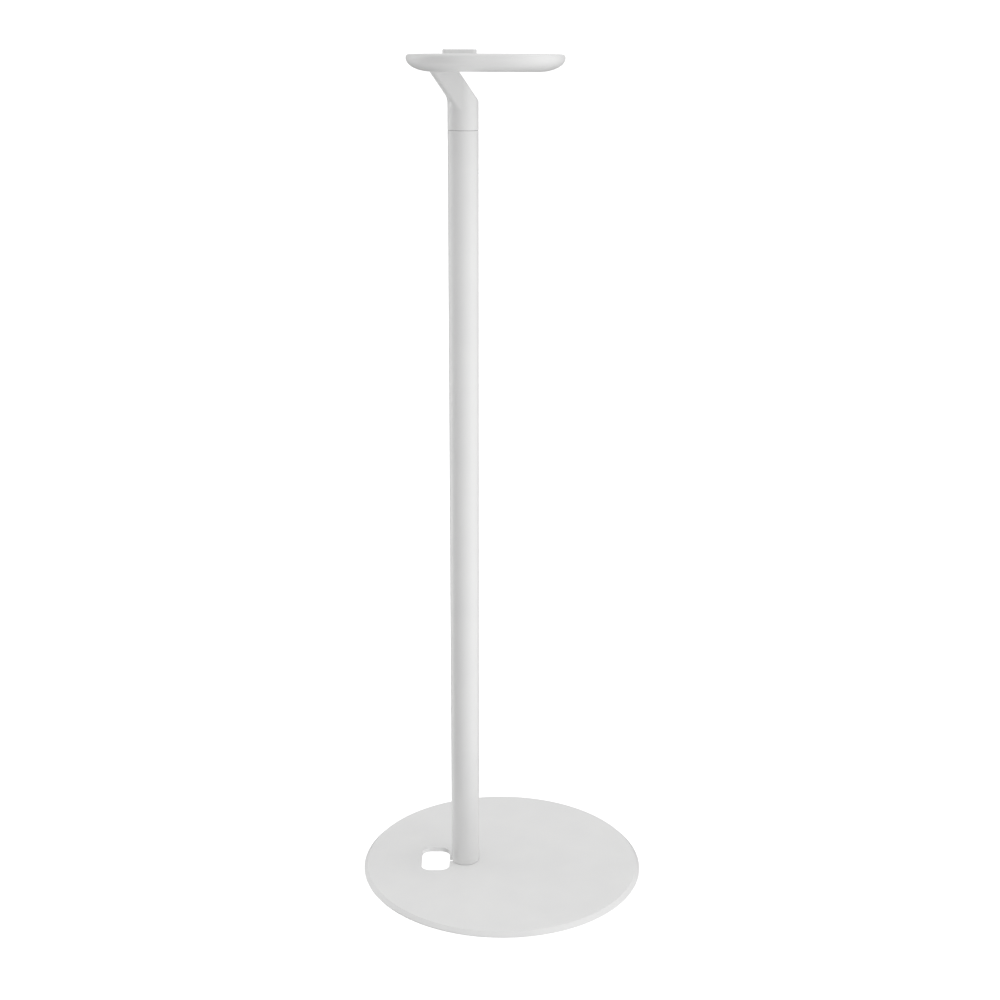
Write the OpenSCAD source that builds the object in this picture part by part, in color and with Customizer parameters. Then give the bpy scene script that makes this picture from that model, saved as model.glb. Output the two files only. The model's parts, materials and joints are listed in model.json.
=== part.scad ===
// Floor stand for a compact table-top speaker.
// Frame: origin at the centre of the base disc on the floor, +Z up, +X to the front of the stand.

/* [Base] */
// Diameter of the base disc
base_d = 304; // [280:1:330]
// Thickness of the steel base disc
base_t = 5; // [5:0.5:8]
// Width and height of the 45 degree bevel around the top edge
base_bevel = 3.8; // [1:0.1:4]
// Thickness of the anti-slip pad under the disc
pad_t = 0.6; // [0.4:0.1:1.5]
// How far the pad's rim stays inside the disc's edge
pad_inset = 6; // [4:1:20]

/* [Cable hole] */
// Front-to-back length of the cable hole
hole_l = 31; // [24:1:36]
// Side-to-side width of the cable hole
hole_w = 49; // [36:1:60]
// Corner radius of the cable hole
hole_r = 10.5; // [4:0.5:11]
// Distance from the pole's axis back to the centre of the cable hole
hole_back = 33; // [31:1:40]
// Width of the slot that joins the cable hole to the pole's bore
slot_w = 10; // [7:0.5:10]

/* [Pole] */
// Outer diameter of the pole
pole_d = 30; // [28:0.5:32]
// Wall thickness of the pole
pole_wall = 2; // [1.5:0.1:2.2]
// Distance from the disc's centre back to the pole's axis
pole_back = 40.4; // [30:0.1:50]
// Height of the joint between the pole and the neck
joint_z = 790.8; // [600:0.1:1000]

/* [Neck] */
// Angle of the neck's upper part from the vertical
neck_lean = 34.8; // [30:0.1:38]
// Front-to-back length of the neck's flat top
neck_top_l = 28; // [26:0.5:32]
// Radius along the lower rear edges of the neck
neck_edge_r = 5; // [2:0.5:6]
// Diameter of the cable passage through the neck
neck_bore_d = 12; // [8:0.5:12]

/* [Tray] */
// Front-to-back length of the tray
tray_l = 152.2; // [140:0.1:170]
// Side-to-side width of the tray
tray_w = 152.2; // [140:0.1:170]
// Height of the tray from its underside to its rim
tray_h = 16.1; // [16:0.1:20]
// Height of the tray's underside above the floor
tray_z = 845.4; // [700:0.1:1000]
// Distance from the pole's axis forward to the tray's centre
tray_fwd = 21.7; // [16:0.1:26]
// Squareness of the tray's outline: 2 is an ellipse, larger is squarer
tray_power = 2.5; // [2.2:0.1:4]
// Thickness of the tray's floor
floor_t = 3; // [2.5:0.5:3.5]

/* [Locating block] */
// Front-to-back length of the block
block_l = 32.5; // [28:0.5:34]
// Side-to-side width of the block
block_w = 38; // [36:1:44]
// Height of the block's top above the tray's rim
block_rise = 4.5; // [2:0.1:6]
// Corner radius of the block
block_r = 4.5; // [3:0.5:6]
// Distance from the pole's axis back to the block's centre
block_back = 3; // [1:0.5:4]

/* [Device screw] */
// Outer diameter of the device screw's quarter inch thread
thread_d = 6.35; // [6:0.05:6.5]
// How far the device screw rises from its parked place
screw_travel = 4; // [3:0.1:4]
// Diameter of the device screw's head
screw_head_d = 15; // [12:0.5:15.5]

/* [Hidden] */
$fn = 96;

// Clearances: slip for parts pushed together, thread for a screw in its tapped hole
slip = 0.03;
thread_gap = 0.05;
// Play around washers, and around parts that drop into a recess
loose = 0.3;
// Overshoot of cutting shapes past the faces they cut
eps = 0.5;
// Share of a screw head's height taken by its hexagon socket
socket_share = 0.65;

// Heights that stack up from the floor
base_top = pad_t + base_t;
washer_t = 0.4;
pole_foot = base_top + washer_t;
gasket_t = 0.5;
neck_foot = joint_z + gasket_t;
floor_top = tray_z + floor_t;
stiffener_t = 2;
tray_top = tray_z + tray_h;
mat_t = 1;
// The mat lies this far below the rim, and this far inside the deck's seat
mat_drop = 0.5;
mat_inset = 0.5;
mat_top = tray_top - mat_drop;
deck_t = 1.6;
deck_top = mat_top - mat_t;
deck_z = deck_top - deck_t;

// Parts inside the pole
pole_bore_r = pole_d / 2 - pole_wall;
plug_l = 30;
sleeve_l = 45;
spigot_r = 10;
spigot_l = 42;

// Screws between the base and the foot plug: M5, countersunk
m5_r = 2.5;
m5_head_r = 4.65;
m5_head_h = 2.7;
m5_clear_r = 2.75;
base_screw_pcr = 8.6;
base_screw_l = 16;
base_screw_angles = [-72, 0, 72];
m5_socket_af = 3;
// The slot's round front end lies this far behind the pole's axis
slot_end = 6;

// The pad's opening reaches this far in front of the pole's axis, and this far past the cable hole
pad_open_front = 24;
pad_open_margin = 5;

// Grub screws through the pole's rear wall
grub_l = 4.4;
grub_socket_af = 2.5;
grub_socket_h = 2.2;
grub_heights = [joint_z - 30, joint_z - 12];

// Screws between the tray and the neck: M4, pan head
m4_r = 2;
m4_clear_r = 2.25;
m4_head_r = 4;
m4_head_h = 2.4;
m4_socket_af = 2.5;
neck_screw_l = 12;
// Tapped depth in the neck
neck_tap_l = 7.5;
neck_screw_washer_t = 0.8;
neck_screw_x = [-24, -9];
neck_screw_y = 10.5;
// Centre of the neck's flat top, behind the pole's axis
neck_top_back = 17.6;
// The leaning part is narrower than the pole by this, and its lowest rear edge trimmed by this
neck_side_relief = 0.06;
neck_rear_trim = 0.4;
// The upright and the leaning passage overlap by this at the bend, and differ by this in diameter
bend_overlap = 3;
bore_step = 1;
// Hole for the cable through the tray's floor and the stiffener
tray_bore_d = neck_bore_d + 2;

// Steel plate in the tray that spreads the neck screws' load, its rear edge behind the pole's axis
stiffener_l = 33;
stiffener_w = 31;
stiffener_r = 5;
stiffener_back = 29.4;

// Screws that hold the deck down on the tray's pillars: M3, countersunk
m3_r = 1.5;
m3_clear_r = 1.7;
sink_gap = 0.1;
m3_head_r = 2.8;
m3_head_h = 1.5;
m3_pan_head_h = 1.8;
m3_socket_af = 2;
deck_screw_l = 8;
pillar_r = 4.5;
pillar_pitch = 60;
// Bosses and pillars start inside the tray's floor
boss_z = tray_z + 1;

// Outline of the bowl: the widest level, the curve below it and the rounding above it
belly_drop = 3.5;
belly_z = tray_top - belly_drop;
bowl_run = 25;
rim_r = 2.8;
rim_land = 4;
ledge_w = 2.5;
cavity_run = 17;
outline_steps = 96;
bowl_steps = 9;
rim_steps = 5;

// Cable port through the block and the deck
port_l = 15;
port_w = 22;
port_r = 4;
grommet_wall = 1.8;
grommet_flange = 1.5;
grommet_flange_t = 1;
block_screw_y = 15.6;
block_screw_l = 5.5;
block_tap_l = 4.4;
block_top = tray_top + block_rise;
block_edge_r = 1;
block_edge_steps = 4;

// Device screw, with its head parked flush with the tray's underside
pocket_gap = 0.6;
screw_head_h = 3;
screw_washer_t = 0.5;
screw_seat_t = 2;
screw_seat_z = tray_z + screw_head_h + screw_washer_t + screw_travel;
screw_boss_r = screw_head_d / 2 + 3.2;
clip_t = 0.8;
clip_r = 5.2;
clip_groove_r = 2.6;
clip_mouth_w = 4.2;
clip_pass_r = 6;
clip_gap = 0.1;
clip_groove_play = 0.05;
clip_z = screw_seat_z + screw_seat_t + clip_gap;
coin_slot_w = 1.8;
coin_slot_h = 1.4;
hex_key_af = 4;
hex_key_h = 2.2;

// ---------- shared shapes ----------

module at_pole() {
    translate([-pole_back, 0, 0]) children();
}

module at_tray() {
    translate([tray_fwd - pole_back, 0, 0]) children();
}

// Rectangle with true round corners, centred
module rounded_rect(l, w, r) {
    square([l - 2 * r, w], center = true);
    square([l, w - 2 * r], center = true);
    for (sx = [-1, 1], sy = [-1, 1])
        translate([sx * (l / 2 - r), sy * (w / 2 - r)]) circle(r);
}

module rounded_block(l, w, r, h) {
    linear_extrude(height = h) rounded_rect(l, w, r);
}

module tube(outer_r, inner_r, h) {
    difference() {
        cylinder(r = outer_r, h = h);
        translate([0, 0, -eps]) cylinder(r = inner_r, h = h + 2 * eps);
    }
}

// Countersunk screw, its flat head down at z = 0 and its shank upwards
module countersunk_screw(r, head_r, head_h, l, drive_af) {
    difference() {
        union() {
            cylinder(r1 = head_r, r2 = r, h = head_h);
            cylinder(r = r, h = l);
        }
        translate([0, 0, -eps])
            cylinder(d = drive_af / cos(30), h = head_h * socket_share + eps, $fn = 6);
    }
}

// Pan head screw, the underside of its head at z = 0 and its shank downwards
module pan_screw(r, head_r, head_h, l, drive_af) {
    difference() {
        union() {
            cylinder(r = head_r, h = head_h);
            translate([0, 0, -l]) cylinder(r = r, h = l + eps);
        }
        translate([0, 0, head_h * (1 - socket_share)])
            cylinder(d = drive_af / cos(30), h = head_h, $fn = 6);
    }
}

module at_neck_screws(z) {
    for (x = neck_screw_x, side = [-1, 1])
        translate([x, side * neck_screw_y, z]) children();
}

module at_deck_screws(z) {
    for (sx = [-1, 1], sy = [-1, 1])
        translate([sx * pillar_pitch / 2, sy * pillar_pitch / 2, z]) children();
}

module at_base_screws(z) {
    for (a = base_screw_angles)
        rotate([0, 0, a]) translate([base_screw_pcr, 0, z]) children();
}

// ---------- tray outline ----------

function spow(v, p) = sign(v) * pow(abs(v), p);

// Points of the tray's outline, moved inwards by inset
function outline(inset) = [
    for (i = [0 : outline_steps - 1])
        let (a = 360 * i / outline_steps)
        [(tray_l / 2 - inset) * spow(cos(a), 2 / tray_power),
         (tray_w / 2 - inset) * spow(sin(a), 2 / tray_power)]
];

// A quarter-ellipse bowl section as [inset, height] rows, from the bottom to the widest level
function bowl_rows(inset, run, z_low, z_high) = [
    for (i = [0 : bowl_steps])
        let (a = 90 - 90 * i / bowl_steps)
        [inset + run * (1 - cos(a)), z_high - (z_high - z_low) * sin(a)]
];

// The rim's rounding, from the widest level to the top
function rim_rows() = [
    for (i = [0 : rim_steps])
        let (a = 90 * i / rim_steps)
        [rim_r * (1 - cos(a)), tray_top - rim_r + rim_r * sin(a)]
];

// Solid whose level sets are the tray's outline at each row's inset and height
module lofted(rows) {
    points = [for (row = rows, p = outline(row[0])) [p[0], p[1], row[1]]];
    last = (len(rows) - 1) * outline_steps;
    sides = [
        for (j = [0 : len(rows) - 2], i = [0 : outline_steps - 1])
            let (k = (i + 1) % outline_steps, low = j * outline_steps, high = low + outline_steps)
            [low + i, high + i, high + k, low + k]
    ];
    floor_face = [for (i = [0 : outline_steps - 1]) i];
    top_face = [for (i = [outline_steps - 1 : -1 : 0]) last + i];
    polyhedron(points, concat([floor_face, top_face], sides));
}

module outline_plate(inset, z_low, z_high) {
    translate([0, 0, z_low]) linear_extrude(height = z_high - z_low) polygon(outline(inset));
}

// ---------- base ----------

module cable_opening_2d() {
    translate([-hole_back, 0]) rounded_rect(hole_l, hole_w, hole_r);
    translate([-hole_back, -slot_w / 2]) square([hole_back - slot_end, slot_w]);
    translate([-slot_end, 0]) circle(d = slot_w);
}

module base_plate() {
    r = base_d / 2;
    color("whitesmoke") difference() {
        rotate_extrude(angle = 360) polygon([
            [0, pad_t],
            [r, pad_t],
            [r, base_top - base_bevel],
            [r - base_bevel, base_top],
            [0, base_top],
        ]);
        at_pole() {
            translate([0, 0, pad_t - eps])
                linear_extrude(height = base_t + 2 * eps) cable_opening_2d();
            at_base_screws(pad_t - eps) cylinder(r = m5_clear_r, h = base_t + 2 * eps);
            at_base_screws(pad_t)
                cylinder(r1 = m5_head_r + slip, r2 = m5_r + slip, h = m5_head_h);
        }
    }
}

// Pad with an opening that keeps the cable hole and the screw heads free
module anti_slip_pad() {
    open_l = pad_open_front + hole_back + hole_l / 2 + pad_open_margin;
    color("dimgray") difference() {
        cylinder(r = base_d / 2 - pad_inset, h = pad_t);
        translate([pad_open_front - open_l / 2 - pole_back, 0, -eps])
            rounded_block(open_l, hole_w + 2 * pad_open_margin, hole_r, pad_t + 2 * eps);
    }
}

module base_screws() {
    color("silver") at_pole() at_base_screws(pad_t)
        countersunk_screw(m5_r, m5_head_r, m5_head_h, base_screw_l, m5_socket_af);
}

module foot_washer() {
    color("gray") at_pole() translate([0, 0, base_top])
        tube(pole_d / 2 - loose, pole_bore_r, washer_t);
}

// ---------- pole ----------

// Threaded plug in the pole's foot, open at the rear for the cable
module foot_plug() {
    color("silver") at_pole() difference() {
        translate([0, 0, base_top]) cylinder(r = pole_bore_r - slip, h = plug_l);
        translate([-pole_d, -slot_w / 2, base_top - eps])
            cube([pole_d - slot_end, slot_w, plug_l + 2 * eps]);
        translate([-slot_end, 0, base_top - eps]) cylinder(d = slot_w, h = plug_l + 2 * eps);
        at_base_screws(base_top - eps) cylinder(r = m5_r + thread_gap, h = plug_l + 2 * eps);
    }
}

module pole_tube() {
    color("whitesmoke") at_pole() difference() {
        translate([0, 0, pole_foot]) tube(pole_d / 2, pole_bore_r, joint_z - pole_foot);
        for (z = grub_heights)
            translate([0, 0, z]) rotate([0, -90, 0]) cylinder(r = m5_clear_r, h = pole_d);
    }
}

// Sleeve bonded in the pole's top, tapped for the grub screws
module pole_top_sleeve() {
    color("silver") at_pole() difference() {
        translate([0, 0, joint_z - sleeve_l])
            tube(pole_bore_r - slip, spigot_r + slip, sleeve_l);
        for (z = grub_heights)
            translate([0, 0, z]) rotate([0, -90, 0])
                cylinder(r = m5_r + thread_gap, h = pole_d);
    }
}

module neck_grub_screws() {
    color("dimgray") at_pole() for (z = grub_heights)
        translate([-spigot_r - slip, 0, z]) rotate([0, -90, 0]) difference() {
            cylinder(r = m5_r, h = grub_l);
            translate([0, 0, grub_l - grub_socket_h])
                cylinder(d = grub_socket_af / cos(30), h = grub_socket_h + eps, $fn = 6);
        }
}

// ---------- neck ----------

module neck_gasket() {
    color("dimgray") at_pole() translate([0, 0, joint_z])
        tube(pole_d / 2 - 0.5, spigot_r + 0.5, gasket_t);
}

// Places children on the leaning axis: z runs along it, from the centre of the neck's top
module on_lean_axis() {
    translate([-neck_top_back, 0, tray_z]) rotate([0, -neck_lean, 0]) children();
}

module neck_body() {
    slab_t = neck_top_l * cos(neck_lean);
    rear_x = -neck_top_back - neck_top_l / 2 - neck_rear_trim;
    slab_l = 80;
    slab_down = 42;
    far = 80;
    intersection() {
        union() {
            translate([0, 0, neck_foot]) cylinder(d = pole_d, h = tray_z - neck_foot + eps);
            // the leaning slab, which reaches past the neck's front face
            on_lean_axis() translate([pole_d / 2 - slab_t / 2, 0, -slab_down])
                rounded_block(pole_d, pole_d - neck_side_relief, neck_edge_r, slab_l);
        }
        // front-upper face
        on_lean_axis() translate([slab_t / 2 - 2 * far, -far, -far])
            cube([2 * far, 2 * far, 2 * far]);
        // flat top, flat bottom and plan outline
        union() {
            translate([0, 0, neck_foot]) cylinder(d = pole_d, h = tray_z - neck_foot);
            translate([rear_x, -pole_d, neck_foot])
                cube([-rear_x, 2 * pole_d, tray_z - neck_foot]);
        }
    }
}

module neck() {
    bend_z = tray_z - neck_top_back / tan(neck_lean);
    lean_l = neck_top_back / sin(neck_lean);
    color("whitesmoke") at_pole() difference() {
        union() {
            neck_body();
            translate([0, 0, joint_z - spigot_l])
                cylinder(r = spigot_r, h = spigot_l + gasket_t + eps);
        }
        translate([0, 0, joint_z - spigot_l - eps])
            cylinder(d = neck_bore_d, h = bend_z - joint_z + spigot_l + bend_overlap);
        on_lean_axis() translate([0, 0, -lean_l - bend_overlap])
            cylinder(d = neck_bore_d + bore_step, h = lean_l + pole_d);
        at_neck_screws(tray_z - neck_tap_l)
            cylinder(r = m4_r + thread_gap, h = neck_tap_l + eps);
    }
}

// ---------- tray ----------

// Space inside the tray: the curved hollow and the seat of the deck and the mat
module tray_hollow() {
    lofted(bowl_rows(rim_land + ledge_w, cavity_run, floor_top, deck_z));
    outline_plate(rim_land, deck_z, tray_top + eps);
}

module tray_shell() {
    color("whitesmoke") at_tray() difference() {
        union() {
            difference() {
                lofted(concat(bowl_rows(0, bowl_run, tray_z, belly_z), rim_rows()));
                outline_plate(rim_land + ledge_w, deck_z - eps, deck_z + eps);
                tray_hollow();
            }
            translate([0, 0, boss_z])
                cylinder(r = screw_boss_r, h = screw_seat_z + screw_seat_t - boss_z);
            at_deck_screws(boss_z) cylinder(r = pillar_r, h = deck_z - boss_z);
        }
        // pocket for the device screw's head, and the hole for its shank
        translate([0, 0, tray_z - eps])
            cylinder(d = screw_head_d + pocket_gap, h = screw_seat_z - tray_z + eps);
        translate([0, 0, tray_z]) cylinder(d = thread_d + loose, h = tray_h);
        at_deck_screws(deck_z - deck_screw_l) cylinder(r = m3_r + thread_gap, h = tray_h);
        translate([-tray_fwd, 0, tray_z - eps]) {
            translate([-neck_top_back, 0, 0]) cylinder(d = tray_bore_d, h = floor_t + 2 * eps);
            at_neck_screws(0) cylinder(r = m4_clear_r, h = floor_t + 2 * eps);
        }
    }
}

module tray_stiffener() {
    color("silver") at_pole() translate([0, 0, floor_top]) difference() {
        translate([stiffener_l / 2 - stiffener_back, 0, 0])
            rounded_block(stiffener_l, stiffener_w, stiffener_r, stiffener_t);
        translate([-neck_top_back, 0, -eps])
            cylinder(d = tray_bore_d, h = stiffener_t + 2 * eps);
        at_neck_screws(-eps) cylinder(r = m4_clear_r, h = stiffener_t + 2 * eps);
    }
}

module neck_screw_washers() {
    color("silver") at_pole() at_neck_screws(floor_top + stiffener_t)
        tube(m4_head_r - loose, m4_clear_r, neck_screw_washer_t);
}

module neck_screws() {
    color("silver") at_pole() at_neck_screws(floor_top + stiffener_t + neck_screw_washer_t)
        pan_screw(m4_r, m4_head_r, m4_head_h, neck_screw_l, m4_socket_af);
}

module port_at(z) {
    translate([-block_back, 0, z]) children();
}

module at_block_screws() {
    for (side = [-1, 1]) translate([0, side * block_screw_y, 0]) children();
}

module tray_deck() {
    color("whitesmoke") difference() {
        at_tray() outline_plate(rim_land + loose, deck_z, deck_top);
        at_tray() translate([0, 0, deck_z - eps])
            cylinder(r = clip_pass_r, h = deck_t + 2 * eps);
        at_tray() at_deck_screws(deck_z - eps)
            cylinder(r = m3_clear_r, h = deck_t + 2 * eps);
        at_tray() at_deck_screws(deck_top - m3_head_h)
            cylinder(r1 = m3_r + sink_gap, r2 = m3_head_r + sink_gap, h = m3_head_h + 0.01);
        at_pole() port_at(deck_z - eps) {
            rounded_block(port_l, port_w, port_r, deck_t + 2 * eps);
            at_block_screws() cylinder(r = m3_clear_r, h = deck_t + 2 * eps);
        }
    }
}

module deck_screws() {
    color("silver") at_tray() at_deck_screws(deck_top) rotate([180, 0, 0])
        countersunk_screw(m3_r, m3_head_r, m3_head_h, deck_screw_l, m3_socket_af);
}

module device_mat() {
    color("lightgray") difference() {
        at_tray() outline_plate(rim_land + mat_inset, deck_top, mat_top);
        at_tray() translate([0, 0, deck_top - eps])
            cylinder(r = clip_pass_r + mat_inset, h = mat_t + 2 * eps);
        at_pole() port_at(deck_top - eps)
            rounded_block(block_l + 2 * loose, block_w + 2 * loose, block_r + loose,
                mat_t + 2 * eps);
    }
}

// Block with a rounded top edge: levels that follow a quarter circle
module locating_block() {
    edge_z = block_top - block_edge_r;
    color("whitesmoke") at_pole() port_at(0) difference() {
        union() {
            translate([0, 0, deck_top]) rounded_block(block_l, block_w, block_r, edge_z - deck_top);
            for (i = [1 : block_edge_steps])
                let (a = 90 * i / block_edge_steps, cut = block_edge_r * (1 - cos(a)))
                translate([0, 0, edge_z - eps])
                    rounded_block(block_l - 2 * cut, block_w - 2 * cut, block_r - cut,
                        block_edge_r * sin(a) + eps);
        }
        translate([0, 0, deck_top - eps])
            rounded_block(port_l, port_w, port_r, block_top - deck_top + 2 * eps);
        translate([0, 0, deck_top - eps]) at_block_screws()
            cylinder(r = m3_r + thread_gap, h = block_tap_l + eps);
    }
}

module block_screws() {
    color("silver") at_pole() port_at(deck_z) at_block_screws() mirror([0, 0, 1])
        pan_screw(m3_r, m3_head_r, m3_pan_head_h, block_screw_l, m3_socket_af);
}

// Rubber liner of the cable port, with a flange under the deck
module port_grommet() {
    outer_l = port_l - 2 * slip;
    outer_w = port_w - 2 * slip;
    inner_l = outer_l - 2 * grommet_wall;
    inner_w = outer_w - 2 * grommet_wall;
    color("dimgray") at_pole() port_at(deck_z - grommet_flange_t) difference() {
        union() {
            rounded_block(outer_l + 2 * grommet_flange, outer_w + 2 * grommet_flange, port_r,
                grommet_flange_t);
            rounded_block(outer_l, outer_w, port_r - slip, block_top - deck_z);
        }
        translate([0, 0, -eps])
            rounded_block(inner_l, inner_w, port_r - grommet_wall, tray_h);
    }
}

// ---------- device screw ----------

module device_screw() {
    color("silver") at_tray() translate([0, 0, tray_z]) difference() {
        union() {
            cylinder(d = screw_head_d, h = screw_head_h);
            cylinder(d = thread_d, h = mat_top - tray_z);
        }
        translate([0, 0, clip_z - tray_z]) tube(thread_d, clip_groove_r, clip_t);
        translate([-screw_head_d, -coin_slot_w / 2, -eps])
            cube([2 * screw_head_d, coin_slot_w, coin_slot_h + eps]);
        translate([0, 0, -eps])
            cylinder(d = hex_key_af / cos(30), h = hex_key_h + eps, $fn = 6);
    }
}

module device_screw_washer() {
    color("dimgray") at_tray() translate([0, 0, tray_z + screw_head_h])
        tube(screw_head_d / 2 - loose, thread_d / 2 + clip_gap, screw_washer_t);
}

// Open clip in the screw's groove, which keeps the screw in the tray
module device_screw_clip() {
    color("silver") at_tray() translate([0, 0, clip_z + clip_groove_play]) difference() {
        tube(clip_r, clip_groove_r + slip, clip_t - 2 * clip_groove_play);
        translate([0, -clip_mouth_w / 2, -eps])
            cube([clip_r * 2, clip_mouth_w, clip_t + 2 * eps]);
    }
}

anti_slip_pad();
base_plate();
base_screws();
foot_washer();
foot_plug();
pole_tube();
pole_top_sleeve();
neck_gasket();
neck();
neck_grub_screws();
tray_shell();
tray_stiffener();
neck_screws();
neck_screw_washers();
tray_deck();
deck_screws();
device_mat();
locating_block();
block_screws();
port_grommet();
device_screw();
device_screw_washer();
device_screw_clip();
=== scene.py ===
"""Looks of the speaker floor stand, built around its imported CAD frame. Lengths are in metres."""

import json
import math

import bmesh
import bpy
from mathutils import Matrix, Vector


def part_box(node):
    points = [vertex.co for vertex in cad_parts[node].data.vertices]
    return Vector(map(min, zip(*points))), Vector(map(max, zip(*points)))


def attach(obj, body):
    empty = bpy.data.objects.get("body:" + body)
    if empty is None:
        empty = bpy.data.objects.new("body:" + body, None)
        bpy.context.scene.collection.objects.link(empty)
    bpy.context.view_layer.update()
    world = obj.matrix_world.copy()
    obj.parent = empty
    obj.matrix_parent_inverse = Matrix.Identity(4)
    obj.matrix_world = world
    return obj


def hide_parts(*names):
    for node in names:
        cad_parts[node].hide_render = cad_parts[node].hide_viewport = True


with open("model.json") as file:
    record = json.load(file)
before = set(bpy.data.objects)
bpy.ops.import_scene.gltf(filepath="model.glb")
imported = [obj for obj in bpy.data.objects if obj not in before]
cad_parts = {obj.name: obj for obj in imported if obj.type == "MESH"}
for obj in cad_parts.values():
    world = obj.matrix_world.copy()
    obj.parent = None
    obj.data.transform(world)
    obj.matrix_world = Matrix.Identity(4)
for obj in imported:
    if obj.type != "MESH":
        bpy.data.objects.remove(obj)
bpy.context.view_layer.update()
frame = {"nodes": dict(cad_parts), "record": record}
MM = 0.001

# ---------- places, from the frame ----------

pole_low, pole_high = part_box("pole_tube")
plate_low, plate_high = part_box("base_plate")
neck_low, neck_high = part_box("neck")
gasket_low, gasket_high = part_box("neck_gasket")
tray_low, tray_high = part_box("tray_shell")
deck_low, deck_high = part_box("tray_deck")
mat_low, mat_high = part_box("device_mat")
block_low, block_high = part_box("locating_block")
screw_low, screw_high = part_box("device_screw")
clip_low, clip_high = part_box("device_screw_clip")
washer_low, washer_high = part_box("device_screw_washer")

POLE_X = (pole_low.x + pole_high.x) / 2
POLE_R = (pole_high.x - pole_low.x) / 2
TRAY_X = (tray_low.x + tray_high.x) / 2
TRAY_HALF = (tray_high.x - tray_low.x) / 2
TRAY_HALF_W = (tray_high.y - tray_low.y) / 2
BLOCK_X = (block_low.x + block_high.x) / 2

# Sizes that the boxes do not hold, as in the design
POLE_WALL = 2.0 * MM
NECK_LEAN = math.radians(34.8)
NECK_TOP_BACK = 17.6 * MM
NECK_TOP_L = 28.0 * MM
NECK_EDGE_R = 5.0 * MM
NECK_BORE_R = 6.0 * MM
TRAY_POWER = 2.5
BOWL_RUN = 25.0 * MM
BELLY_DROP = 3.5 * MM
RIM_R = 2.8 * MM
RIM_LAND = 4.0 * MM
TRAY_FLOOR_T = 3.0 * MM
LEDGE_W = 2.5 * MM
CAVITY_RUN = 17.0 * MM
HOLE_L = 31.0 * MM
HOLE_W = 49.0 * MM
HOLE_R = 10.5 * MM
HOLE_BACK = 33.0 * MM
SLOT_W = 10.0 * MM
SLOT_END = 6.0 * MM
BASE_BEVEL = 3.8 * MM
THREAD_PITCH = 1.27 * MM
SCREW_TRAVEL = 4.0 * MM
SEAT_GAP = 0.02 * MM
PORT_L = 15.0 * MM
PORT_W = 22.0 * MM
PORT_R = 4.0 * MM
BLOCK_R = 4.5 * MM
BASE_SCREW_PCR = 8.6 * MM
BASE_SCREW_ANGLES = (-72, 0, 72)
PILLAR_PITCH = 60.0 * MM
# Narrow flat band beside an eased edge, which keeps the edge's shading off the wide faces
COLLAR = 0.25 * MM
# How far a cutter runs past the piece that it cuts
PAST = 10.0 * MM
DISC_STEPS = 360

# ---------- mesh helpers ----------


def arc_corner(before, corner, after, radius, steps):
    """Points of the arc that rounds a corner between two straight stretches."""
    to_before = (Vector(before) - Vector(corner)).normalized()
    to_after = (Vector(after) - Vector(corner)).normalized()
    half = to_before.angle(to_after) / 2
    if radius <= 0 or half > math.radians(89.9):
        return [tuple(corner)]
    reach = radius / math.tan(half)
    centre = Vector(corner) + (to_before + to_after).normalized() * radius / math.sin(half)
    start = Vector(corner) + to_before * reach - centre
    end = Vector(corner) + to_after * reach - centre
    sweep = math.atan2(start.x * end.y - start.y * end.x, start.dot(end))
    turns = [sweep * i / steps for i in range(steps + 1)]
    return [
        (
            centre.x + start.x * math.cos(t) - start.y * math.sin(t),
            centre.y + start.x * math.sin(t) + start.y * math.cos(t),
        )
        for t in turns
    ]


def rounded_outline(corners, steps=8):
    """Closed outline through (x, y, radius) corners, each rounded by its radius."""
    points = []
    for i, (x, y, radius) in enumerate(corners):
        before = corners[i - 1][:2]
        after = corners[(i + 1) % len(corners)][:2]
        points += arc_corner(before, (x, y), after, radius, steps)
    return points


def rounded_rectangle(length, width, radius, steps=12):
    x, y = length / 2, width / 2
    return rounded_outline([(x, -y, radius), (x, y, radius), (-x, y, radius), (-x, -y, radius)], steps)


def subdivide(outline, longest):
    """The same closed outline with no stretch longer than the one given."""
    points = []
    for (x0, y0), (x1, y1) in zip(outline, outline[1:] + outline[:1]):
        parts = max(1, math.ceil(math.hypot(x1 - x0, y1 - y0) / longest))
        points += [(x0 + (x1 - x0) * i / parts, y0 + (y1 - y0) * i / parts) for i in range(parts)]
    return points


def grown(outline, by):
    """A closed anticlockwise outline moved outwards along its own normals."""
    moved = []
    for i, (x, y) in enumerate(outline):
        x0, y0 = outline[i - 1]
        x1, y1 = outline[(i + 1) % len(outline)]
        dx, dy = x1 - x0, y1 - y0
        size = math.hypot(dx, dy) or 1.0
        moved.append((x + by * dy / size, y - by * dx / size))
    return moved


def superellipse(half_l, half_w, power, steps=240):
    """Closed outline of |x/a|^n + |y/b|^n = 1."""

    def bent(v):
        return math.copysign(abs(v) ** (2 / power), v)

    angles = [2 * math.pi * i / steps for i in range(steps)]
    return [(half_l * bent(math.cos(a)), half_w * bent(math.sin(a))) for a in angles]


def at_height(outline, z, x=0.0, y=0.0):
    return [(px + x, py + y, z) for px, py in outline]


def ring(radius, z, steps=96):
    angles = [2 * math.pi * i / steps for i in range(steps)]
    return [(radius * math.cos(a), radius * math.sin(a), z) for a in angles]


def quarter(radius, steps=5):
    """(inset, rise) pairs along a quarter circle, from its lower outer end to its top."""
    angles = [math.pi / 2 * i / steps for i in range(steps + 1)]
    return [(radius * (1 - math.cos(a)), radius * math.sin(a)) for a in angles]


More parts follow.
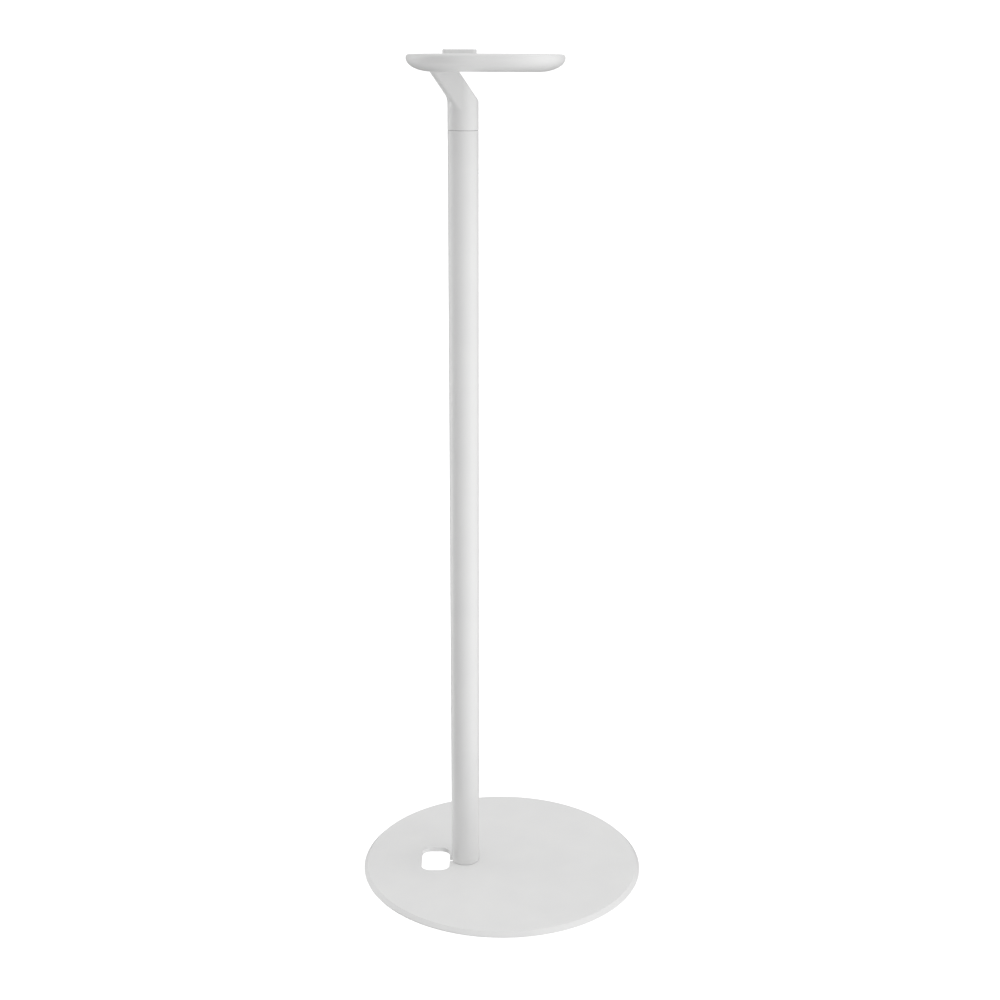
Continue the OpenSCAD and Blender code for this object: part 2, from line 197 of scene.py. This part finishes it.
def add_rings(bm, rings, looped=False):
    """Quads between successive rings of equal length. Returns the vertex rings."""
    rows = [[bm.verts.new(p) for p in points] for points in rings]
    pairs = list(zip(rows, rows[1:]))
    if looped:
        pairs.append((rows[-1], rows[0]))
    for low, high in pairs:
        for i in range(len(low)):
            j = (i + 1) % len(low)
            bm.faces.new((low[i], low[j], high[j], high[i]))
    return rows


def fill_between(bm, *loops):
    """Flat faces between closed loops of vertices that lie in one plane."""
    edges = []
    for loop in loops:
        for a, b in zip(loop, loop[1:] + loop[:1]):
            edges.append(bm.edges.get((a, b)) or bm.edges.new((a, b)))
    bmesh.ops.triangle_fill(bm, use_beauty=True, use_dissolve=False, edges=edges)


def as_object(name, bm, sharp_deg=35.0):
    """A smooth-shaded object with sharp edges above an angle."""
    bmesh.ops.remove_doubles(bm, verts=bm.verts, dist=1e-7)
    bmesh.ops.recalc_face_normals(bm, faces=bm.faces)
    mesh = bpy.data.meshes.new(name)
    bm.to_mesh(mesh)
    bm.free()
    mesh.shade_smooth()
    mesh.set_sharp_from_angle(angle=math.radians(sharp_deg))
    piece = bpy.data.objects.new(name, mesh)
    bpy.context.scene.collection.objects.link(piece)
    return piece


def turned(bm, profile, x=0.0, y=0.0, steps=192):
    """A closed (radius, z) profile turned around a vertical axis."""
    rings = [[(px + x, py + y, pz) for px, py, pz in ring(r, z, steps)] for r, z in profile]
    add_rings(bm, rings, looped=True)


def cut(piece, *cutters):
    """Cuts solids out of a piece and removes them."""
    for cutter in cutters:
        step = piece.modifiers.new("cut", "BOOLEAN")
        step.operation = "DIFFERENCE"
        step.solver = "EXACT"
        step.object = cutter
        bpy.context.view_layer.update()
        graph = bpy.context.evaluated_depsgraph_get()
        mesh = bpy.data.meshes.new_from_object(piece.evaluated_get(graph))
        piece.modifiers.remove(step)
        piece.data = mesh
        bpy.data.objects.remove(cutter)
    piece.data.shade_smooth()
    piece.data.set_sharp_from_angle(angle=math.radians(35))


def rod(name, radius, start, end, steps=48, end_radius=None):
    """A plain closed cylinder or cone between two points, used as a cutter."""
    start, end = Vector(start), Vector(end)
    turn = (end - start).to_track_quat("Z", "Y").to_matrix().to_4x4()
    bm = bmesh.new()
    length = (end - start).length
    rows = add_rings(bm, [ring(radius, 0, steps), ring(end_radius or radius, length, steps)])
    bm.faces.new(rows[0])
    bm.faces.new(rows[1])
    bmesh.ops.transform(bm, matrix=Matrix.Translation(start) @ turn, verts=bm.verts)
    return as_object(name, bm)


def place(piece, node, slot, body="stand"):
    """Puts a detailed piece in the stead of a CAD node."""
    piece.data.materials.clear()
    piece.data.materials.append(MATERIALS[slot])
    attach(piece, body)
    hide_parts(node)


# ---------- material helpers ----------


class Nodes:
    """A material's node tree, with short ways to add what the materials here share."""

    def __init__(self, name):
        self.material = bpy.data.materials.new(name)
        self.material.use_nodes = True
        self.tree = self.material.node_tree
        self.shader = self.tree.nodes["Principled BSDF"]
        self.place = self.add("ShaderNodeTexCoord").outputs["Object"]

    def add(self, kind, **settings):
        node = self.tree.nodes.new(kind)
        for key, value in settings.items():
            setattr(node, key, value)
        return node

    def link(self, source, target):
        self.tree.links.new(source, target)

    def noise(self, size, detail=3.0, roughness=0.5, stretch=(1, 1, 1)):
        """Noise whose features are about size metres across."""
        mapping = self.add("ShaderNodeMapping")
        mapping.inputs["Scale"].default_value = stretch
        self.link(self.place, mapping.inputs["Vector"])
        noise = self.add("ShaderNodeTexNoise")
        noise.inputs["Scale"].default_value = 1 / size
        noise.inputs["Detail"].default_value = detail
        noise.inputs["Roughness"].default_value = roughness
        self.link(mapping.outputs["Vector"], noise.inputs["Vector"])
        return noise.outputs["Fac"]

    def ramp(self, value, low, high, start=0.3, end=0.7):
        """A value spread over a range: start and end of the input give low and high."""
        spread = self.add("ShaderNodeMapRange")
        spread.inputs["From Min"].default_value = start
        spread.inputs["From Max"].default_value = end
        spread.inputs["To Min"].default_value = low
        spread.inputs["To Max"].default_value = high
        self.link(value, spread.inputs["Value"])
        return spread.outputs["Result"]

    def math(self, operation, a, b):
        node = self.add("ShaderNodeMath", operation=operation)
        for socket, value in zip(node.inputs, (a, b)):
            if isinstance(value, (int, float)):
                socket.default_value = value
            else:
                self.link(value, socket)
        return node.outputs[0]

    def colours(self, factor, first, second):
        mix = self.add("ShaderNodeMix", data_type="RGBA")
        mix.inputs["A"].default_value = (*first, 1)
        mix.inputs["B"].default_value = (*second, 1)
        self.link(factor, mix.inputs["Factor"])
        return mix.outputs["Result"]

    def bump(self, height, distance, strength=1.0, under=None):
        node = self.add("ShaderNodeBump")
        node.inputs["Strength"].default_value = strength
        node.inputs["Distance"].default_value = distance
        self.link(height, node.inputs["Height"])
        if under is not None:
            self.link(under, node.inputs["Normal"])
        return node.outputs["Normal"]

    def worn_edges(self, low=0.57, high=0.66):
        """0 on flat faces, up to 1 on outer edges."""
        geometry = self.add("ShaderNodeNewGeometry")
        edge = self.ramp(geometry.outputs["Pointiness"], 0, 1, low, high)
        patches = self.ramp(self.noise(6 * MM, 4), 0, 1, 0.4, 0.65)
        return self.math("MULTIPLY", edge, patches)


def coated(name, colour, shade, grain, rough, depth):
    """Satin coating: orange-peel grain, cloudy gloss, fine dust and slightly polished edges."""
    n = Nodes(name)
    clouds = n.noise(40 * MM, 2)
    specks = n.noise(0.25 * MM, 2, 0.6)
    tint = n.colours(n.ramp(clouds, 0, 1), colour, shade)
    dust = n.math("MULTIPLY", n.ramp(specks, 0, 1, 0.62, 0.8), 0.35)
    mix = n.add("ShaderNodeMix", data_type="RGBA")
    n.link(dust, mix.inputs["Factor"])
    n.link(tint, mix.inputs["A"])
    mix.inputs["B"].default_value = (*[c * 0.9 for c in shade], 1)
    n.link(mix.outputs["Result"], n.shader.inputs["Base Color"])
    cloudy = n.ramp(n.noise(25 * MM, 3), rough - 0.04, rough + 0.05)
    polished = n.math("MULTIPLY", n.worn_edges(), -0.1)
    n.link(n.math("ADD", cloudy, polished), n.shader.inputs["Roughness"])
    coarse = n.bump(n.noise(grain, 2, 0.45), depth)
    fine = n.bump(n.noise(grain / 5, 2, 0.5), depth / 6, under=coarse)
    n.link(fine, n.shader.inputs["Normal"])
    n.shader.inputs["IOR"].default_value = 1.5
    return n.material


def rubber(name, colour, cell, rough):
    """Matte rubber with fine cells and a little bloom."""
    n = Nodes(name)
    bloom = n.ramp(n.noise(30 * MM, 2), 0, 1)
    bloomed = [min(1, c * 1.03 + 0.005) for c in colour]
    n.link(n.colours(bloom, colour, bloomed), n.shader.inputs["Base Color"])
    n.link(n.ramp(n.noise(8 * MM, 3), rough - 0.03, rough + 0.04), n.shader.inputs["Roughness"])
    cells = n.add("ShaderNodeTexVoronoi")
    cells.inputs["Scale"].default_value = 1 / cell
    n.link(n.place, cells.inputs["Vector"])
    n.link(n.bump(cells.outputs["Distance"], cell * 0.12), n.shader.inputs["Normal"])
    return n.material


def metal(name, colour, rough, stretch, grain=0.3 * MM):
    """Bare metal with drawn or turned marks, stretched along one direction."""
    n = Nodes(name)
    marks = n.noise(grain, 3, 0.6, stretch)
    darker = [c * 0.86 for c in colour]
    n.link(n.colours(n.ramp(marks, 0, 1), colour, darker), n.shader.inputs["Base Color"])
    n.link(n.ramp(n.noise(5 * MM, 3), rough - 0.06, rough + 0.08), n.shader.inputs["Roughness"])
    n.link(n.bump(marks, 0.01 * MM), n.shader.inputs["Normal"])
    n.shader.inputs["Metallic"].default_value = 1.0
    return n.material


WHITE = (0.79, 0.79, 0.785)
WHITE_SHADE = (0.77, 0.77, 0.768)
MATERIALS = {
    "powder_coat_white": coated("base_powder_coat", WHITE, WHITE_SHADE, 1.1 * MM, 0.36, 0.03 * MM),
    "pole_powder_coat": coated("pole_powder_coat", WHITE, WHITE_SHADE, 0.9 * MM, 0.34, 0.012 * MM),
    "neck_powder_coat": coated("neck_powder_coat", WHITE, WHITE_SHADE, 0.9 * MM, 0.36, 0.02 * MM),
    "tray_white_plastic": coated("tray_plastic", WHITE, WHITE_SHADE, 0.5 * MM, 0.4, 0.008 * MM),
    "block_white_plastic": coated("block_plastic", WHITE, WHITE_SHADE, 0.5 * MM, 0.42, 0.008 * MM),
    "mat_silicone": rubber("mat_silicone", (0.72, 0.72, 0.715), 0.45 * MM, 0.62),
    "pad_rubber": rubber("pad_foam", (0.09, 0.09, 0.092), 0.6 * MM, 0.8),
    "gasket_grey": rubber("gasket_rubber", (0.5, 0.5, 0.5), 0.3 * MM, 0.7),
    "grommet_rubber": rubber("grommet_rubber", (0.3, 0.3, 0.3), 0.35 * MM, 0.65),
    "washer_nylon": rubber("washer_nylon", (0.05, 0.05, 0.052), 0.3 * MM, 0.45),
    "bare_aluminium": metal("turned_aluminium", (0.8, 0.8, 0.81), 0.34, (0.1, 0.1, 1)),
    "zinc_steel": metal("zinc_steel", (0.62, 0.63, 0.66), 0.3, (1, 1, 0.3)),
}

# ---------- base ----------


def cable_opening():
    """The base's opening, anticlockwise: a rounded rectangle with a slot towards the pole."""
    rear = -HOLE_BACK - HOLE_L / 2
    front = -HOLE_BACK + HOLE_L / 2
    half_w = HOLE_W / 2
    half_slot = SLOT_W / 2
    tip = -SLOT_END + half_slot
    lip_r = 0.8 * MM
    end_r = half_slot * 0.999
    corners = [
        (front, -half_w, HOLE_R),
        (front, -half_slot, lip_r),
        (tip, -half_slot, end_r),
        (tip, half_slot, end_r),
        (front, half_slot, lip_r),
        (front, half_w, HOLE_R),
        (rear, half_w, HOLE_R),
        (rear, -half_w, HOLE_R),
    ]
    outline = subdivide(rounded_outline(corners, 10), 1.5 * MM)
    return [(x + POLE_X, y) for x, y in outline]


def make_base_plate():
    """Steel disc: bevelled and eased outer edge, eased cable opening, countersunk holes underneath."""
    radius = plate_high.x
    low, high = plate_low.z, plate_high.z
    ease = 0.5 * MM
    edge = [
        (radius - 2 * BASE_BEVEL, low, 0),
        (radius, low, ease),
        (radius, high - BASE_BEVEL, ease),
        (radius - BASE_BEVEL, high, ease),
        (radius - 2 * BASE_BEVEL, high, 0),
    ]
    bm = bmesh.new()
    rings = [ring(r, z, DISC_STEPS) for r, z in rounded_outline(edge, 5)]
    # The first corner only steers the arc beside it
    outer = add_rings(bm, rings[1:])
    opening = cable_opening()
    rim = quarter(ease, 4)
    walls = [at_height(grown(opening, inset), low + ease - rise) for inset, rise in reversed(rim)]
    walls += [at_height(grown(opening, inset), high - ease + rise) for inset, rise in rim]
    collar = grown(opening, ease + COLLAR)
    inner = add_rings(bm, [at_height(collar, low), *walls, at_height(collar, high)])
    fill_between(bm, outer[-1], inner[-1])
    fill_between(bm, outer[0], inner[0])
    plate = as_object("BasePlate", bm, 30)
    hole_r, sink_h = 2.75 * MM, 2.7 * MM
    sink_low_r, sink_high_r = 6.83 * MM, 2.53 * MM
    for angle in BASE_SCREW_ANGLES:
        x = POLE_X + BASE_SCREW_PCR * math.cos(math.radians(angle))
        y = BASE_SCREW_PCR * math.sin(math.radians(angle))
        cut(
            plate,
            rod("hole", hole_r, (x, y, low - BASE_BEVEL), (x, y, high + BASE_BEVEL)),
            rod("sink", sink_low_r, (x, y, low - sink_h), (x, y, low + sink_h), end_radius=sink_high_r),
        )
    return plate


def make_pole():
    """Round tube with eased ends and the two access holes of the grub screws."""
    low, high = pole_low.z, pole_high.z
    ease = 0.25 * MM
    inner = POLE_R - POLE_WALL
    section = [(inner, low, ease), (POLE_R, low, ease), (POLE_R, high, ease), (inner, high, ease)]
    bm = bmesh.new()
    profile = rounded_outline(section, 4)
    turned(bm, profile, POLE_X)
    tube = as_object("PoleTube", bm)
    grub_low, grub_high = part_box("neck_grub_screws")
    screw_r = 2.5 * MM
    hole_r = 2.75 * MM
    start_x, end_x = POLE_X - POLE_WALL, POLE_X - 2 * POLE_R
    for z in (grub_low.z + screw_r, grub_high.z - screw_r):
        cut(tube, rod("hole", hole_r, (start_x, 0, z), (end_x, 0, z)))
    return tube


# ---------- neck ----------


def smooth_max(a, b, k):
    h = max(k - abs(a - b), 0.0) / k
    return max(a, b) + h * h * k / 4


def smooth_min(a, b, k):
    return -smooth_max(-a, -b, k)


def neck_surface(x, y, z):
    """Signed distance to the neck's outer form: an upright column that blends into a leaning slab."""
    crisp, soft = 0.05 * MM, 3 * MM
    soft_from, soft_run = 3 * MM, 9 * MM
    edge = 0.8 * MM
    column = math.hypot(x, y) - POLE_R
    slab_t = NECK_TOP_L * math.cos(NECK_LEAN)
    forward = (x + NECK_TOP_BACK) * math.cos(NECK_LEAN) + (z - tray_low.z) * math.sin(NECK_LEAN)
    from_rear = NECK_EDGE_R - slab_t / 2 - forward
    from_side = NECK_EDGE_R - POLE_R + abs(y)
    corner = math.hypot(max(from_rear, 0.0), max(from_side, 0.0))
    slab = corner + min(max(from_rear, from_side), 0.0) - NECK_EDGE_R
    form = column
    if x < 0:
        blend = crisp + soft * min(1.0, max(0.0, (-x - soft_from) / soft_run))
        form = smooth_min(column, slab, blend)
    form = smooth_max(form, forward - slab_t / 2, edge)
    return smooth_max(form, neck_low.x - POLE_X - x, edge)


def neck_ring(z, shrink=0.0, steps=144):
    """Where rays from inside the neck meet its outer form at one height."""
    bend = tray_low.z - NECK_TOP_BACK / math.tan(NECK_LEAN)
    centre = min(0.0, (bend - z) * math.tan(NECK_LEAN))
    halvings = 24
    points = []
    for i in range(steps):
        a = 2 * math.pi * i / steps
        near, far = 0.0, 3 * POLE_R
        for _ in range(halvings):
            middle = (near + far) / 2
            outside = neck_surface(centre + middle * math.cos(a), middle * math.sin(a), z) > 0
            near, far = (near, middle) if outside else (middle, far)
        reach = near - shrink
        points.append((POLE_X + centre + reach * math.cos(a), reach * math.sin(a), z))
    return points


def make_neck():
    """Cast neck with its spigot, and the cable passage through both."""
    foot, top = gasket_high.z, neck_high.z
    ease = 0.35 * MM
    rows = [neck_ring(foot + ease - rise, inset) for inset, rise in reversed(quarter(ease, 4))]
    count = 76
    rows += [neck_ring(foot + ease + (top - foot - ease) * i / count) for i in range(1, count + 1)]
    bm = bmesh.new()
    loops = add_rings(bm, rows)
    bm.faces.new(loops[0])
    bm.faces.new(loops[-1])
    neck = as_object("NeckCasting", bm, 50)
    upper_r = NECK_BORE_R + 0.5 * MM
    lean = Vector((-math.sin(NECK_LEAN), 0, math.cos(NECK_LEAN)))
    mouth = Vector((POLE_X - NECK_TOP_BACK, 0, top))
    length = NECK_TOP_BACK / math.sin(NECK_LEAN)
    bend_z = top - NECK_TOP_BACK / math.tan(NECK_LEAN)
    past_bend = 3 * MM
    cut(
        neck,
        rod("upper", upper_r, mouth - lean * (length + past_bend), mouth + lean * 2 * PAST),
        rod("lower", NECK_BORE_R, (POLE_X, 0, foot - PAST), (POLE_X, 0, bend_z + past_bend)),
    )
    spigot_r = 10 * MM
    spigot_top = foot + 0.2 * MM
    bm = bmesh.new()
    section = [
        (NECK_BORE_R, neck_low.z, 0.3 * MM),
        (spigot_r, neck_low.z, 1.0 * MM),
        (spigot_r, spigot_top, 0),
        (NECK_BORE_R, spigot_top, 0),
    ]
    turned(bm, rounded_outline(section, 4), POLE_X, steps=96)
    spigot = as_object("Spigot", bm)
    return joined(neck, spigot)


def joined(first, *others):
    """One object with the meshes of several."""
    bm = bmesh.new()
    for piece in (first, *others):
        bm.from_mesh(piece.data)
    bm.to_mesh(first.data)
    bm.free()
    first.data.shade_smooth()
    first.data.set_sharp_from_angle(angle=math.radians(40))
    for piece in others:
        bpy.data.objects.remove(piece)
    return first


# ---------- tray ----------


def tray_ring(inset, z):
    """The tray's soft square outline at one height, drawn in by an inset."""
    outline = superellipse(TRAY_HALF - inset, TRAY_HALF_W - inset, TRAY_POWER)
    return at_height(outline, z, TRAY_X)


def bowl(inset, run, low, high, steps):
    """Rings of a quarter-ellipse bowl section, from its floor to its widest level."""
    angles = [math.pi / 2 * (1 - i / steps) for i in range(steps + 1)]
    return [
        tray_ring(inset + run * (1 - math.cos(a)), high - (high - low) * math.sin(a))
        for a in angles
    ]


def make_tray():
    """Shallow bowl: curved outside, rounded rim, inner lip, ledge and hollow."""
    low, high = tray_low.z, tray_high.z
    belly = high - BELLY_DROP
    floor_top = low + TRAY_FLOOR_T
    boss_low = low + 0.1 * MM
    lip_r = 0.6 * MM
    outside = bowl(0, BOWL_RUN, low, belly, 20)
    outside += [tray_ring(inset, high - RIM_R + rise) for inset, rise in quarter(RIM_R, 8)]
    lip_steps = reversed(quarter(lip_r, 4))
    lip = [tray_ring(RIM_LAND - inset, high - lip_r + rise) for inset, rise in lip_steps]
    cavity = list(reversed(bowl(RIM_LAND + LEDGE_W, CAVITY_RUN, floor_top, deck_low.z, 12)))
    ledge = [tray_ring(RIM_LAND, deck_low.z)]
    bm = bmesh.new()
    rows = add_rings(bm, outside + lip + ledge + cavity)
    bm.faces.new(rows[0])
    bm.faces.new(rows[-1])
    tray = as_object("TrayShell", bm)
    pocket_r = 7.8 * MM
    cable_r = NECK_BORE_R + 1 * MM
    cable_x = POLE_X - NECK_TOP_BACK
    cut(
        tray,
        rod("pocket", pocket_r, (TRAY_X, 0, low - PAST), (TRAY_X, 0, high), 96),
        rod("cable", cable_r, (cable_x, 0, low - PAST), (cable_x, 0, high)),
    )
    seat_low = washer_high.z + SCREW_TRAVEL + SEAT_GAP
    seat_high = seat_low + 2.0 * MM
    boss_r = 10.7 * MM
    shank_r = 3.3 * MM
    section = [
        (pocket_r, boss_low, 0),
        (boss_r, boss_low, 0),
        (boss_r, seat_high, 0.5 * MM),
        (shank_r, seat_high, 0),
        (shank_r, seat_low, 0),
        (pocket_r, seat_low, 0),
    ]
    bm = bmesh.new()
    turned(bm, rounded_outline(section, 3), TRAY_X, steps=96)
    half, pillar_r, hole_r = PILLAR_PITCH / 2, 4.5 * MM, 1.55 * MM
    section = [(hole_r, boss_low), (pillar_r, boss_low), (pillar_r, deck_low.z), (hole_r, deck_low.z)]
    for x, y in ((half, half), (-half, half), (-half, -half), (half, -half)):
        turned(bm, section, TRAY_X + x, y, 48)
    bosses = as_object("Bosses", bm)
    return joined(tray, bosses)


def make_mat():
    """Silicone mat with an eased edge, cut around the block and the device screw."""
    low, high = mat_low.z, mat_high.z
    inset = TRAY_HALF - (mat_high.x - mat_low.x) / 2
    ease = 0.35 * MM
    outer = [tray_ring(inset, low)]
    outer += [tray_ring(inset + step, high - ease + rise) for step, rise in quarter(ease, 4)]
    outer.append(tray_ring(inset + ease + COLLAR, high))
    gap = 0.3 * MM
    lip = 0.2 * MM
    window_l = block_high.x - block_low.x + 2 * gap
    window_w = block_high.y - block_low.y + 2 * gap
    window = rounded_rectangle(window_l, window_w, BLOCK_R + gap)
    screw_hole_r = 6.5 * MM
    round_hole = [(x, y) for x, y, z in ring(screw_hole_r, 0)]
    bm = bmesh.new()
    rows = [add_rings(bm, outer)]
    for outline, x in ((window, BLOCK_X), (round_hole, TRAY_X)):
        walls = [at_height(outline, z, x) for z in (low, high - lip)]
        walls += [at_height(grown(outline, by), high, x) for by in (lip, lip + COLLAR)]
        rows.append(add_rings(bm, walls))
    fill_between(bm, *[row[-1] for row in rows])
    fill_between(bm, *[row[0] for row in rows])
    return as_object("DeviceMat", bm)


def make_block():
    """Raised locating block with rounded edges around the cable port."""
    low, high = block_low.z, block_high.z
    length, width = block_high.x - block_low.x, block_high.y - block_low.y
    edge = 1.0 * MM
    port_edge = 0.5 * MM
    steps = 12

    def outline(inset):
        return rounded_rectangle(length - 2 * inset, width - 2 * inset, BLOCK_R - inset, steps)

    port = rounded_rectangle(PORT_L, PORT_W, PORT_R, steps)
    bm = bmesh.new()
    shapes = [at_height(outline(0), low, BLOCK_X)]
    for inset, rise in quarter(edge, 6):
        shapes.append(at_height(outline(inset), high - edge + rise, BLOCK_X))
    shapes.append(at_height(outline(edge + COLLAR), high, BLOCK_X))
    outer = add_rings(bm, shapes)
    shapes = [at_height(port, low, BLOCK_X)]
    for inset, rise in quarter(port_edge, 4):
        shapes.append(at_height(grown(port, inset), high - port_edge + rise, BLOCK_X))
    shapes.append(at_height(grown(port, port_edge + COLLAR), high, BLOCK_X))
    inner = add_rings(bm, shapes)
    fill_between(bm, outer[-1], inner[-1])
    fill_between(bm, outer[0], inner[0])
    return as_object("LocatingBlock", bm)


# ---------- device screw ----------


def make_device_screw():
    """Captive screw: rolled thread, chamfered head with a coin slot and a hexagon socket."""
    low, high = screw_low.z, screw_high.z
    head_r = (screw_high.x - screw_low.x) / 2
    head_top = washer_low.z
    major = 3.175 * MM
    minor = 2.6 * MM
    chamfer = 0.4 * MM
    flank, crest = 2.6, 1.3
    fade_in, fade_out = 1.0 * MM, 1.2 * MM
    groove_margin = 0.2 * MM
    steps, rows_per_turn = 96, 12
    bm = bmesh.new()
    head = [(0.0, low), (head_r - chamfer, low), (head_r, low + chamfer), (head_r, head_top - chamfer)]
    head += [(head_r - chamfer, head_top), (minor, head_top)]
    rows = [ring(max(r, 1e-6), z, steps) for r, z in head]
    step = THREAD_PITCH / rows_per_turn
    z = head_top
    while z < high - step:
        z += step
        points = []
        for i in range(steps):
            a = 2 * math.pi * i / steps
            phase = (z / THREAD_PITCH - i / steps) % 1.0
            ridge = max(0.0, 1 - abs(phase - 0.5) * flank)
            lead = min(1.0, (high - z) / fade_out, (z - head_top) / fade_in)
            groove = clip_low.z - groove_margin < z < clip_high.z + groove_margin
            height = 0.0 if groove else min(1.0, ridge * crest) * lead
            r = minor + (major - minor) * height
            points.append((r * math.cos(a), r * math.sin(a), z))
        rows.append(points)
    rows.append(ring(minor * 0.8, high, steps))
    loops = add_rings(bm, [[(px + TRAY_X, py, pz) for px, py, pz in points] for points in rows])
    bm.faces.new(loops[-1])
    bm.faces.new(loops[0])
    screw = as_object("DeviceScrew", bm, 45)
    slot_w, slot_h = 1.8 * MM, 1.4 * MM
    socket_r, socket_h = 2.3 * MM, 2.2 * MM
    bm = bmesh.new()
    slab = rounded_rectangle(3 * head_r, slot_w, 0.3 * MM, 3)
    ends = add_rings(bm, [at_height(slab, low - slot_h, TRAY_X), at_height(slab, low + slot_h, TRAY_X)])
    bm.faces.new(ends[0])
    bm.faces.new(ends[1])
    slot = as_object("slot", bm)
    socket = rod("socket", socket_r, (TRAY_X, 0, low - slot_h), (TRAY_X, 0, low + socket_h), 6)
    cut(screw, slot, socket)
    return screw


# ---------- build ----------

place(make_base_plate(), "base_plate", "powder_coat_white")
place(make_pole(), "pole_tube", "pole_powder_coat")
place(make_neck(), "neck", "neck_powder_coat")
place(make_tray(), "tray_shell", "tray_white_plastic")
place(make_mat(), "device_mat", "mat_silicone")
place(make_block(), "locating_block", "block_white_plastic")
place(make_device_screw(), "device_screw", "zinc_steel", "turning_screw")

slots = {entry["node"]: entry["material_slot"] for entry in frame["record"]["subparts"]}
for node, cad_object in frame["nodes"].items():
    cad_object.data.materials.clear()
    cad_object.data.materials.append(MATERIALS[slots[node]])

# ---------- stage, light and camera ----------

FLOOR_R = 12.0
SURROUND_R = 12.5
STAGE_GLOW = 0.95

LIGHT_LEVEL = 0.243
LIGHT_RISE = 0.776
# Each source's azimuth and elevation in degrees, its strength and its focus. The flag takes light away.
LEFT_FLAG = (182, -32, -5.0, 8.53)
RIGHT_BOX = (-10, 52, 0.96, 8.7)
LEFT_BOX = (168, -22, 4.62, 6.16)
LOW_FILL = (-44, -57, 1.8, 1.09)

CAMERA_PLACE = (-0.0259, -1.4986, 0.8453)
CAMERA_HEADING = math.radians(0.858)
CAMERA_PITCH = math.radians(15.87)
CAMERA_ROLL = math.radians(0.191)
CAMERA_LENS = 54.19
CAMERA_SENSOR = 36.0


def make_stage():
    """A pale floor and a pale surround, seen by the camera and left out of the light's bounces."""
    n = Nodes("stage_white")
    n.shader.inputs["Base Color"].default_value = (0.3, 0.3, 0.3, 1)
    n.shader.inputs["Roughness"].default_value = 1.0
    n.shader.inputs["Specular IOR Level"].default_value = 0.0
    n.shader.inputs["Emission Color"].default_value = (1, 1, 1, 1)
    n.shader.inputs["Emission Strength"].default_value = STAGE_GLOW
    bm = bmesh.new()
    rows = add_rings(bm, [ring(FLOOR_R, 0.0, 64)])
    bm.faces.new(rows[0])
    floor = as_object("Floor", bm)
    bm = bmesh.new()
    bmesh.ops.create_uvsphere(bm, u_segments=48, v_segments=24, radius=SURROUND_R)
    surround = as_object("Surround", bm)
    for piece in (floor, surround):
        piece.data.materials.append(n.material)
        piece.visible_diffuse = False
        piece.visible_glossy = False
        piece.visible_transmission = False
        piece.visible_shadow = False


def direction_to(azimuth, elevation):
    """Unit direction from an azimuth and an elevation in degrees, counted from +X."""
    a, e = math.radians(azimuth), math.radians(elevation)
    return (math.cos(a) * math.cos(e), math.sin(a) * math.cos(e), math.sin(e))


def make_light():
    """Soft light from all round: brighter with height, and around three of the four sources."""
    world = bpy.data.worlds.new("Studio")
    bpy.context.scene.world = world
    world.use_nodes = True
    tree = world.node_tree
    direction = tree.nodes.new("ShaderNodeTexCoord").outputs["Generated"]

    def math_node(operation, a, b):
        node = tree.nodes.new("ShaderNodeMath")
        node.operation = operation
        for socket, value in zip(node.inputs, (a, b)):
            if isinstance(value, (int, float)):
                socket.default_value = value
            else:
                tree.links.new(value, socket)
        return node.outputs[0]

    def towards(aim):
        node = tree.nodes.new("ShaderNodeVectorMath")
        node.operation = "DOT_PRODUCT"
        node.inputs[1].default_value = aim
        tree.links.new(direction, node.inputs[0])
        return node.outputs["Value"]

    level = math_node("ADD", LIGHT_LEVEL, math_node("MULTIPLY", towards((0, 0, 1)), LIGHT_RISE))
    for azimuth, elevation, strength, focus in (LEFT_FLAG, RIGHT_BOX, LEFT_BOX, LOW_FILL):
        facing = math_node("MAXIMUM", towards(direction_to(azimuth, elevation)), 0.0)
        swell = math_node("POWER", facing, focus)
        level = math_node("ADD", level, math_node("MULTIPLY", swell, strength))
    background = tree.nodes["Background"]
    background.inputs["Color"].default_value = (1, 1, 1, 1)
    tree.links.new(math_node("MAXIMUM", level, 0.0), background.inputs["Strength"])


def make_camera():
    """Camera across the stand from its right side, at the height of the tray."""
    heading, pitch, roll = CAMERA_HEADING, CAMERA_PITCH, CAMERA_ROLL
    level = math.cos(pitch)
    forward = Vector((math.sin(heading) * level, math.cos(heading) * level, -math.sin(pitch)))
    right = Vector((math.cos(heading), -math.sin(heading), 0))
    up = right.cross(forward)
    rolled_right = right * math.cos(roll) + up * math.sin(roll)
    rolled_up = up * math.cos(roll) - right * math.sin(roll)
    data = bpy.data.cameras.new("Camera")
    data.lens = CAMERA_LENS
    data.sensor_width = CAMERA_SENSOR
    camera = bpy.data.objects.new("Camera", data)
    bpy.context.scene.collection.objects.link(camera)
    turn = Matrix((rolled_right, rolled_up, -forward)).transposed().to_4x4()
    camera.matrix_world = Matrix.Translation(CAMERA_PLACE) @ turn
    bpy.context.scene.camera = camera


make_stage()
make_light()
make_camera()
bpy.context.scene.view_settings.view_transform = "Standard"
